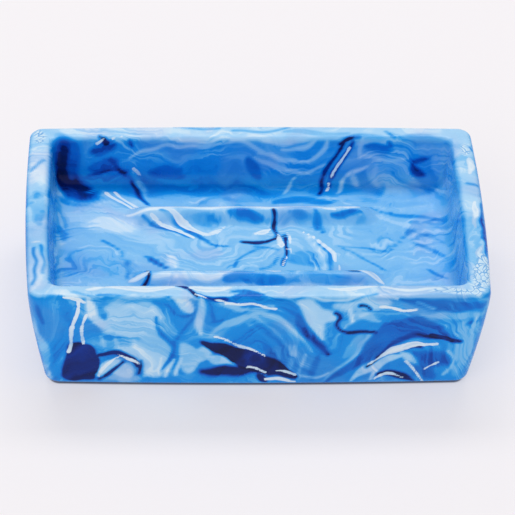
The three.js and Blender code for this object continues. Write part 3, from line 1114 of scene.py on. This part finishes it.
@dataclass(frozen=True)
class MarbledCasting:
    """Pigmented cast resin, demoulded with a satin gloss and not polished afterwards.

    To the eye it is a smooth skin with soft reflections over colours that were poured together:
    folded layers drawn out into fine parallel lines, milky tongues with crisp edges, pools of
    navy, and lacy cells where the pale pigment floated up. The stored tone and milk that it
    reads also carry some painted light and shade.
    """

    name: str = "marbled_cast_resin"
    # the skin
    roughness: tuple[float, float] = (0.2, 0.32)
    ior: float = 1.45
    gloss: float = 0.22
    ripple: Grain = Grain(5.0, 3.0, 0.55)
    ripple_range: tuple[float, float] = (0.3, 0.7)
    ripple_height: float = 0.12
    ripple_strength: float = 0.5
    # how the pour was stirred: each noise and how far it pushes
    drift: tuple[tuple[Grain, float], ...] = (
        (Grain(26.0), 9.0), (Grain(8.0), 3.4), (Grain(2.6), 0.9),
    )
    # the folded layers
    bend: tuple[float, float, float] = (0.3, 0.7, 1.0)
    broad: Grain = Grain(8.0, 2.0, 0.55)
    fine: Grain = Grain(1.8, 3.0, 0.55)
    stretch: float = 30.0
    broad_reach: float = 0.42
    comb: Grain = Grain(12.0)
    comb_range: tuple[float, float] = (0.42, 0.62)
    comb_reach: tuple[float, float] = (0.14, 0.66)
    # the edges of crisp pigment
    ragged: Grain = Grain(2.4, 2.0)
    ragged_reach: float = 0.4
    fray_reach: float = 0.8
    shore: tuple[float, float] = (-0.9, 0.1)
    shore_tone: float = -0.28
    ink_edge: tuple[float, float] = (-0.15, 0.2)
    milk_edge: tuple[float, float] = (-0.12, 0.12)
    milk_cover: float = 0.94
    milk_shade: tuple[float, float, float] = (0.5, 1.6, -0.6)
    lace_edge: tuple[float, float] = (-0.6, 0.8)
    cell: float = 2.3
    # the colours, by lightness from dark to light
    haze: Grain = Grain(16.0, 1.0, 0.4)
    haze_range: tuple[float, float] = (0.5, 0.66)
    haze_cover: float = 0.6
    deep: tuple[tuple[float, str], ...] = (
        (0.0, "#04124a"), (0.10, "#031c66"), (0.13, "#003a9c"), (0.22, "#0052b8"),
        (0.25, "#0066cc"), (0.38, "#007ada"), (0.42, "#048ae4"), (0.53, "#0f95eb"),
        (0.56, "#36a5ef"), (0.62, "#54b3f2"), (0.65, "#74bff5"), (0.74, "#89caf7"),
        (0.77, "#9fd4fa"), (0.86, "#b1ddfc"), (0.89, "#cae9fd"), (1.0, "#e4f4fe"),
    )
    cool: tuple[tuple[float, str], ...] = (
        (0.0, "#0a1858"), (0.12, "#06368f"), (0.25, "#0a5cb8"), (0.38, "#1878d2"), (0.5, "#3a93e0"),
        (0.62, "#6aabea"), (0.74, "#97c1f0"), (0.86, "#bdd4f5"), (1.0, "#e4edfa"),
    )
    navy: tuple[tuple[float, str], ...] = ((0.3, "#020f42"), (0.5, "#001c66"), (0.7, "#003090"))
    milk: tuple[tuple[float, str], ...] = (
        (0.0, "#a6cef2"), (0.2, "#cde6fa"), (0.5, "#e8f6fe"), (1.0, "#c0def7"),
    )
    lace: tuple[tuple[float, str], ...] = (
        (0.0, "#62a6e2"), (0.05, "#98caf3"), (0.12, "#dbf1fd"), (0.4, "#b4dcf8"),
    )

    def build(self) -> bpy.types.Material:
        """Builds the material.

        Object coordinates in millimetres are stirred by three sizes of noise. The stored level,
        bent by the same stirring, is the long axis of two noises that vary fast across the
        layers and slowly along them, which draws each layer out into a line.

        Returns:
            The finished material.
        """
        material = empty_material(self.name)
        tree = material.node_tree
        field = {
            name: add_node(tree, "ShaderNodeAttribute", {"attribute_name": name}).outputs["Fac"]
            for name in ("tone", "level", "milk", "ink", "lace")
        }
        coords = add_node(tree, "ShaderNodeTexCoord").outputs["Object"]
        place = add_node(
            tree, "ShaderNodeVectorMath", {"operation": "SCALE"}, {0: coords, "Scale": 1 / MM}
        ).outputs[0]
        flow = self.stir(tree, place)
        broad, fine = self.fold(tree, place, flow, field["level"])
        depths = self.fray(tree, place, fine, field)
        light = self.lighten(tree, flow, field["tone"], depths["ink"], (broad, fine))
        colour = self.cover(tree, flow, self.tint(tree, flow, light), depths, broad)
        self.skin(tree, place, colour)
        return material

    def stir(self, tree: bpy.types.NodeTree, place: bpy.types.NodeSocket) -> bpy.types.NodeSocket:
        """Pushes the place about by each noise of the drift, the largest first.

        Args:
            tree: the node tree.
            place: the place in millimetres.

        Returns:
            The stirred place.
        """
        flow = place
        for grain, reach in self.drift:
            noise = add_node(
                tree, "ShaderNodeTexNoise", None,
                {"Vector": flow, "Scale": 1 / grain.size,
                 "Detail": grain.detail, "Roughness": grain.roughness},
            )
            push = add_node(
                tree, "ShaderNodeVectorMath", {"operation": "MULTIPLY_ADD"},
                {0: noise.outputs["Color"], 1: (2 * reach,) * 3, 2: (-reach,) * 3},
            ).outputs[0]
            flow = add_node(
                tree, "ShaderNodeVectorMath", {"operation": "ADD"}, {0: flow, 1: push}
            ).outputs[0]
        return flow

    def fold(
        self,
        tree: bpy.types.NodeTree,
        place: bpy.types.NodeSocket,
        flow: bpy.types.NodeSocket,
        level: bpy.types.NodeSocket,
    ) -> list[bpy.types.NodeSocket]:
        """Draws the broad layers and the fine lines along them.

        Args:
            tree: the node tree.
            place: the place in millimetres.
            flow: the stirred place.
            level: the stored level of the layers.

        Returns:
            The broad and the fine pattern, each about 0.5 on average.
        """
        moved = add_node(
            tree, "ShaderNodeVectorMath", {"operation": "SUBTRACT"}, {0: flow, 1: place}
        ).outputs[0]
        bend = add_node(
            tree, "ShaderNodeVectorMath", {"operation": "DOT_PRODUCT"}, {0: moved, 1: self.bend}
        ).outputs["Value"]
        bent = add_node(
            tree, "ShaderNodeMath", {"operation": "ADD"}, {0: level, 1: bend}
        ).outputs[0]
        slow = add_node(
            tree, "ShaderNodeVectorMath", {"operation": "SCALE"},
            {0: flow, "Scale": 1 / self.stretch},
        ).outputs[0]
        layers = []
        for grain in (self.broad, self.fine):
            across = add_node(
                tree, "ShaderNodeMath", {"operation": "DIVIDE"}, {0: bent, 1: grain.size}
            ).outputs[0]
            axis = add_node(tree, "ShaderNodeCombineXYZ", None, {0: across}).outputs[0]
            where = add_node(
                tree, "ShaderNodeVectorMath", {"operation": "ADD"}, {0: slow, 1: axis}
            ).outputs[0]
            layers.append(add_node(
                tree, "ShaderNodeTexNoise", None,
                {"Vector": where, "Scale": 1.0,
                 "Detail": grain.detail, "Roughness": grain.roughness},
            ).outputs["Fac"])
        return layers

    def fray(
        self,
        tree: bpy.types.NodeTree,
        place: bpy.types.NodeSocket,
        fine: bpy.types.NodeSocket,
        field: dict[str, bpy.types.NodeSocket],
    ) -> dict[str, bpy.types.NodeSocket]:
        """Makes the edges of crisp pigment ragged, and frays them along the fine lines.

        Args:
            tree: the node tree.
            place: the place in millimetres.
            fine: the pattern of fine lines.
            field: the stored fields by name.

        Returns:
            The depths inside ink, milk and lace by name.
        """
        ragged = add_node(
            tree, "ShaderNodeTexNoise", None,
            {"Vector": place, "Scale": 1 / self.ragged.size,
             "Detail": self.ragged.detail, "Roughness": self.ragged.roughness},
        ).outputs["Fac"]
        edge, frayed = (
            add_node(
                tree, "ShaderNodeMath", {"operation": "MULTIPLY_ADD"},
                {0: noise, 1: reach, 2: -reach / 2},
            ).outputs[0]
            for noise, reach in ((ragged, self.ragged_reach), (fine, self.fray_reach))
        )
        stray = add_node(
            tree, "ShaderNodeMath", {"operation": "ADD"}, {0: edge, 1: frayed}
        ).outputs[0]
        return {
            name: add_node(
                tree, "ShaderNodeMath", {"operation": "ADD"}, {0: field[name], 1: stray}
            ).outputs[0]
            for name in ("ink", "milk", "lace")
        }

    def lighten(
        self,
        tree: bpy.types.NodeTree,
        flow: bpy.types.NodeSocket,
        tone: bpy.types.NodeSocket,
        ink: bpy.types.NodeSocket,
        layers: tuple[bpy.types.NodeSocket, bpy.types.NodeSocket],
    ) -> bpy.types.NodeSocket:
        """Works out the lightness of the poured colours.

        The tone darkens along a shore around the ink, and swings with both layers. The swing of
        the fine one is greater in some areas than in others.

        Args:
            tree: the node tree.
            flow: the stirred place.
            tone: the stored tone.
            ink: the depth inside the ink.
            layers: the broad and the fine pattern.

        Returns:
            The lightness, 0 to 1.
        """
        shore = add_node(
            tree, "ShaderNodeMapRange", {"interpolation_type": "SMOOTHSTEP"},
            {"Value": ink, "From Min": self.shore[0], "From Max": self.shore[1],
             "To Min": 0.0, "To Max": self.shore_tone},
        ).outputs[0]
        combed = add_node(
            tree, "ShaderNodeTexNoise", None,
            {"Vector": flow, "Scale": 1 / self.comb.size,
             "Detail": self.comb.detail, "Roughness": self.comb.roughness},
        ).outputs["Fac"]
        comb = add_node(
            tree, "ShaderNodeMapRange", {"interpolation_type": "SMOOTHSTEP"},
            {"Value": combed, "From Min": self.comb_range[0], "From Max": self.comb_range[1],
             "To Min": self.comb_reach[0], "To Max": self.comb_reach[1]},
        ).outputs[0]
        light = add_node(
            tree, "ShaderNodeMath", {"operation": "ADD"}, {0: tone, 1: shore}
        ).outputs[0]
        for layer, reach in zip(layers, (self.broad_reach, comb)):
            swing = add_node(
                tree, "ShaderNodeMath", {"operation": "SUBTRACT"}, {0: layer, 1: 0.5}
            ).outputs[0]
            light = add_node(
                tree, "ShaderNodeMath", {"operation": "MULTIPLY_ADD"},
                {0: swing, 1: reach, 2: light},
            ).outputs[0]
        return light

    def tint(
        self, tree: bpy.types.NodeTree, flow: bpy.types.NodeSocket, light: bpy.types.NodeSocket
    ) -> bpy.types.NodeSocket:
        """Colours the lightness, in deep blues with a cooler haze in some areas.

        Args:
            tree: the node tree.
            flow: the stirred place.
            light: the lightness.

        Returns:
            The colour.
        """
        deep, cool = (
            add_node(tree, "ShaderNodeValToRGB", {"stops": stops}, {0: light}).outputs[0]
            for stops in (self.deep, self.cool)
        )
        where = add_node(
            tree, "ShaderNodeTexNoise", None,
            {"Vector": flow, "Scale": 1 / self.haze.size,
             "Detail": self.haze.detail, "Roughness": self.haze.roughness},
        ).outputs["Fac"]
        haze = add_node(
            tree, "ShaderNodeMapRange", {"interpolation_type": "SMOOTHSTEP"},
            {"Value": where, "From Min": self.haze_range[0], "From Max": self.haze_range[1],
             "To Min": 0.0, "To Max": self.haze_cover},
        ).outputs[0]
        return add_node(
            tree, "ShaderNodeMix", {"data_type": "RGBA"}, {0: haze, 6: deep, 7: cool}
        ).outputs[2]

    def cover(
        self,
        tree: bpy.types.NodeTree,
        flow: bpy.types.NodeSocket,
        colour: bpy.types.NodeSocket,
        depths: dict[str, bpy.types.NodeSocket],
        broad: bpy.types.NodeSocket,
    ) -> bpy.types.NodeSocket:
        """Lays navy ink, then milk, then the lacy cells over the poured colours.

        Args:
            tree: the node tree.
            flow: the stirred place.
            colour: the poured colours.
            depths: the depths inside ink, milk and lace by name.
            broad: the pattern of broad layers.

        Returns:
            The colour.
        """
        rise, curdle, start = self.milk_shade
        curdled = add_node(
            tree, "ShaderNodeMath", {"operation": "MULTIPLY_ADD"}, {0: broad, 1: curdle, 2: start}
        ).outputs[0]
        shade = add_node(
            tree, "ShaderNodeMath", {"operation": "MULTIPLY_ADD"},
            {0: depths["milk"], 1: rise, 2: curdled},
        ).outputs[0]
        cells = add_node(
            tree, "ShaderNodeTexVoronoi", {"feature": "DISTANCE_TO_EDGE"},
            {"Vector": flow, "Scale": 1 / self.cell, "Randomness": 1.0},
        ).outputs["Distance"]
        for name, stops, value, edge, most in (
            ("ink", self.navy, broad, self.ink_edge, 1.0),
            ("milk", self.milk, shade, self.milk_edge, self.milk_cover),
            ("lace", self.lace, cells, self.lace_edge, 1.0),
        ):
            pigment = add_node(
                tree, "ShaderNodeValToRGB", {"stops": stops}, {0: value}
            ).outputs[0]
            body = add_node(
                tree, "ShaderNodeMapRange", {"interpolation_type": "SMOOTHSTEP"},
                {"Value": depths[name], "From Min": edge[0], "From Max": edge[1],
                 "To Min": 0.0, "To Max": most},
            ).outputs[0]
            colour = add_node(
                tree, "ShaderNodeMix", {"data_type": "RGBA"}, {0: body, 6: colour, 7: pigment}
            ).outputs[2]
        return colour

    def skin(
        self, tree: bpy.types.NodeTree, place: bpy.types.NodeSocket, colour: bpy.types.NodeSocket
    ) -> None:
        """Puts the smooth, faintly wavy skin over the colour, and finishes the tree.

        Args:
            tree: the node tree.
            place: the place in millimetres.
            colour: the colour.
        """
        waves = add_node(
            tree, "ShaderNodeTexNoise", None,
            {"Vector": place, "Scale": 1 / self.ripple.size,
             "Detail": self.ripple.detail, "Roughness": self.ripple.roughness},
        ).outputs["Fac"]
        roughness = add_node(
            tree, "ShaderNodeMapRange", None,
            {"Value": waves, "From Min": self.ripple_range[0], "From Max": self.ripple_range[1],
             "To Min": self.roughness[0], "To Max": self.roughness[1]},
        ).outputs[0]
        bump = add_node(
            tree, "ShaderNodeBump", None,
            {"Strength": self.ripple_strength, "Distance": self.ripple_height * MM,
             "Height": waves},
        ).outputs[0]
        shader = add_node(
            tree, "ShaderNodeBsdfPrincipled", None,
            {"Base Color": colour, "Roughness": roughness, "IOR": self.ior,
             "Specular IOR Level": self.gloss, "Normal": bump},
        )
        add_node(tree, "ShaderNodeOutputMaterial", None, {"Surface": shader.outputs[0]})


@dataclass(frozen=True)
class ClearPad:
    """Clear soft silicone film, die-cut: a satin, milky pad that takes the colour above it."""

    name: str = "clear_silicone_pad"
    colour: tuple[tuple[float, str], ...] = ((0.35, "#bcc8d1"), (0.65, "#d0d8de"))
    roughness: tuple[float, float] = (0.36, 0.5)
    ior: float = 1.41
    mottle: Grain = Grain(2.0, 3.0)
    mottle_range: tuple[float, float] = (0.3, 0.7)
    dimple: float = 0.05
    dimple_strength: float = 0.4

    def build(self) -> bpy.types.Material:
        """Builds the material.

        Returns:
            The finished material.
        """
        material = empty_material(self.name)
        tree = material.node_tree
        coords = add_node(tree, "ShaderNodeTexCoord").outputs["Object"]
        place = add_node(
            tree, "ShaderNodeVectorMath", {"operation": "SCALE"}, {0: coords, "Scale": 1 / MM}
        ).outputs[0]
        cloudy = add_node(
            tree, "ShaderNodeTexNoise", None,
            {"Vector": place, "Scale": 1 / self.mottle.size,
             "Detail": self.mottle.detail, "Roughness": self.mottle.roughness},
        ).outputs["Fac"]
        colour = add_node(
            tree, "ShaderNodeValToRGB", {"stops": self.colour}, {0: cloudy}
        ).outputs[0]
        roughness = add_node(
            tree, "ShaderNodeMapRange", None,
            {"Value": cloudy, "From Min": self.mottle_range[0], "From Max": self.mottle_range[1],
             "To Min": self.roughness[0], "To Max": self.roughness[1]},
        ).outputs[0]
        bump = add_node(
            tree, "ShaderNodeBump", None,
            {"Strength": self.dimple_strength, "Distance": self.dimple * MM, "Height": cloudy},
        ).outputs[0]
        shader = add_node(
            tree, "ShaderNodeBsdfPrincipled", None,
            {"Base Color": colour, "Roughness": roughness, "IOR": self.ior, "Normal": bump},
        )
        add_node(tree, "ShaderNodeOutputMaterial", None, {"Surface": shader.outputs[0]})
        return material


# ---------------------------------------------------------------- the stage


@dataclass(frozen=True)
class StudioCamera:
    """A long lens a little above the tray, looking down into the cavity."""

    azimuth: float = -3.015
    elevation: float = 36.609
    roll: float = 1.728
    distance: float = 1297.1
    target: tuple[float, float, float] = (1.112, 0.0, 18.622)
    lens: float = 294.85
    sensor: float = 36.0
    clip: tuple[float, float] = (0.05, 50.0)  # in metres

    def build(self) -> bpy.types.Object:
        """Places the camera on its sight line through the target, and makes it the scene's.

        Returns:
            The camera.
        """
        turn, tilt, roll = (math.radians(a) for a in (self.azimuth, self.elevation, self.roll))
        right = Vector((math.cos(turn), math.sin(turn), 0.0))
        ahead = Vector((
            -math.sin(turn) * math.cos(tilt), math.cos(turn) * math.cos(tilt), -math.sin(tilt)
        ))
        up = right.cross(ahead)
        across = right * math.cos(roll) + up * math.sin(roll)
        upright = up * math.cos(roll) - right * math.sin(roll)
        place = (Vector(self.target) - ahead * self.distance) * MM
        data = bpy.data.cameras.new("camera")
        data.lens, data.sensor_width = self.lens, self.sensor
        data.clip_start, data.clip_end = self.clip
        camera = bpy.data.objects.new("camera", data)
        axes = Matrix((across, upright, -ahead)).transposed().to_4x4()
        camera.matrix_world = Matrix.Translation(place) @ axes
        bpy.context.scene.collection.objects.link(camera)
        bpy.context.scene.camera = camera
        return camera


@dataclass(frozen=True)
class Softbox:
    """A rectangular studio light aimed at the tray. Its place, size and aim are in metres."""

    name: str
    place: tuple[float, float, float]
    size: tuple[float, float]
    watts: float
    mirrored: bool = True  # whether the tray reflects it
    colour: str = "#ffffff"
    aim: tuple[float, float, float] = (0.0, 0.0, 0.02)

    def build(self) -> bpy.types.Object:
        """Builds the light.

        Returns:
            The light.
        """
        data = bpy.data.lights.new(self.name, "AREA")
        data.shape = "RECTANGLE"
        data.size, data.size_y = self.size
        data.energy = self.watts
        data.color = srgb(self.colour)[:3]
        light = bpy.data.objects.new(self.name, data)
        light.visible_glossy = self.mirrored
        turn = (Vector(self.aim) - Vector(self.place)).to_track_quat("-Z", "Y")
        light.matrix_world = Matrix.Translation(self.place) @ turn.to_matrix().to_4x4()
        bpy.context.scene.collection.objects.link(light)
        return light


@dataclass(frozen=True)
class MattPaper:
    """Matt white paper on a bright table, lit a little from below.

    To the eye it is even and without gloss. Its glow is cut out under the tray's footprint,
    which paints a thin dark contact shadow where the tray stands.
    """

    name: str = "matt_paper"
    colour: str = "#b6b2b3"
    glow: str = "#f6f3f5"
    strength: float = 0.52
    # the tray's footprint, left without glow as a painted contact shadow
    half: tuple[float, float] = (63.3, 39.2)
    bow: tuple[float, float] = (1.2, 1.1)
    corner: float = 2.6
    fade: float = 0.8
    fibre: Grain = Grain(2.5, 2.0)
    roughness: tuple[float, float] = (0.8, 1.0)

    def build(self) -> bpy.types.Material:
        """Builds the material.

        The tray's footprint is a rounded rectangle with bowed sides. With x and y made positive,
        bow (y / half width)^2 is added to x and bow (x / half length)^2 to y, which straightens
        the sides. What is left past the middle of a corner's rounding is the gap, and the glow
        rises from none where the gap is the corner's radius to all of it over the fade. The unlit
        footprint paints the tray's contact shadow on the paper.

        Returns:
            The finished material.
        """
        material = empty_material(self.name)
        tree = material.node_tree
        coords = add_node(tree, "ShaderNodeTexCoord").outputs["Object"]
        place = add_node(
            tree, "ShaderNodeVectorMath", {"operation": "SCALE"}, {0: coords, "Scale": 1 / MM}
        ).outputs[0]
        sides = add_node(
            tree, "ShaderNodeVectorMath", {"operation": "ABSOLUTE"}, {0: place}
        ).outputs[0]
        parts = add_node(tree, "ShaderNodeSeparateXYZ", None, {0: sides})
        swapped = add_node(
            tree, "ShaderNodeCombineXYZ", None, {0: parts.outputs[1], 1: parts.outputs[0]}
        ).outputs[0]
        squared = add_node(
            tree, "ShaderNodeVectorMath", {"operation": "MULTIPLY"}, {0: swapped, 1: swapped}
        ).outputs[0]
        draw = (self.bow[0] / self.half[1] ** 2, self.bow[1] / self.half[0] ** 2, 0.0)
        straight = add_node(
            tree, "ShaderNodeVectorMath", {"operation": "MULTIPLY_ADD"},
            {0: squared, 1: draw, 2: sides},
        ).outputs[0]
        middle = (self.half[0] - self.corner, self.half[1] - self.corner, 1.0)
        past = add_node(
            tree, "ShaderNodeVectorMath", {"operation": "SUBTRACT"}, {0: straight, 1: middle}
        ).outputs[0]
        out = add_node(
            tree, "ShaderNodeVectorMath", {"operation": "MAXIMUM"}, {0: past, 1: (0.0, 0.0, 0.0)}
        ).outputs[0]
        gap = add_node(
            tree, "ShaderNodeVectorMath", {"operation": "LENGTH"}, {0: out}
        ).outputs["Value"]
        # no glow under the tray: a painted contact shadow
        glow = add_node(
            tree, "ShaderNodeMapRange", {"interpolation_type": "SMOOTHSTEP"},
            {"Value": gap, "From Min": self.corner, "From Max": self.corner + self.fade,
             "To Min": 0.0, "To Max": self.strength},
        ).outputs[0]
        fibre = add_node(
            tree, "ShaderNodeTexNoise", None,
            {"Vector": place, "Scale": 1 / self.fibre.size,
             "Detail": self.fibre.detail, "Roughness": self.fibre.roughness},
        ).outputs["Fac"]
        roughness = add_node(
            tree, "ShaderNodeMapRange", None,
            {"Value": fibre, "From Min": 0.0, "From Max": 1.0,
             "To Min": self.roughness[0], "To Max": self.roughness[1]},
        ).outputs[0]
        shader = add_node(
            tree, "ShaderNodeBsdfPrincipled", None,
            {"Base Color": srgb(self.colour), "Roughness": roughness,
             "Emission Color": srgb(self.glow), "Emission Strength": glow},
        )
        add_node(tree, "ShaderNodeOutputMaterial", None, {"Surface": shader.outputs[0]})
        return material


@dataclass(frozen=True)
class Studio:
    """The table, the even light of the room, and two softboxes."""

    table_reach: float = 6.0  # in metres, from the middle to each side
    room_colour: str = "#f6f7fb"
    room_strength: float = 0.58
    lights: tuple[Softbox, ...] = (
        Softbox("key", (0.0, 0.75, 1.3), (1.2, 0.42), 8.0),
        Softbox("fill", (-0.5, -1.2, 1.1), (1.2, 1.0), 6.0, mirrored=False),
    )

    def build(self) -> None:
        """Builds the camera, the table, the room's light and the softboxes."""
        StudioCamera().build()
        self.build_table()
        world = bpy.data.worlds.new("room")
        world.use_nodes = True
        background = world.node_tree.nodes["Background"]
        background.inputs["Color"].default_value = srgb(self.room_colour)
        background.inputs["Strength"].default_value = self.room_strength
        bpy.context.scene.world = world
        bpy.context.scene.view_settings.view_transform = "Standard"
        for light in self.lights:
            light.build()

    def build_table(self) -> None:
        """Lays a plain level sheet under the tray."""
        reach = self.table_reach
        corners = [(x * reach, y * reach, 0.0) for x, y in ((-1, -1), (1, -1), (1, 1), (-1, 1))]
        mesh = bpy.data.meshes.new("floor")
        mesh.from_pydata(corners, [], [(0, 1, 2, 3)])
        mesh.materials.append(MattPaper().build())
        floor = bpy.data.objects.new("floor", mesh)
        bpy.context.scene.collection.objects.link(floor)


def main() -> None:
    logging.basicConfig(level=logging.INFO, format="%(name)s %(message)s")
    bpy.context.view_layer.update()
    Studio().build()
    marbled = MarbledCasting().build()
    low, high = corners_of("tray_body")
    tray = TrayCasting()
    pour = Pour(tray, high[0] - low[0], high[1] - low[1], high[2])
    floor = high[2] - tray.depth
    tray.dress(tray.build(), pour, marbled)
    bars = SupportBars()
    bars.dress(bars.build(floor), pour, floor, marbled)
    pads = BasePads()
    pads.dress(pads.build(), ClearPad().build())


if __name__ == "__main__":
    main()
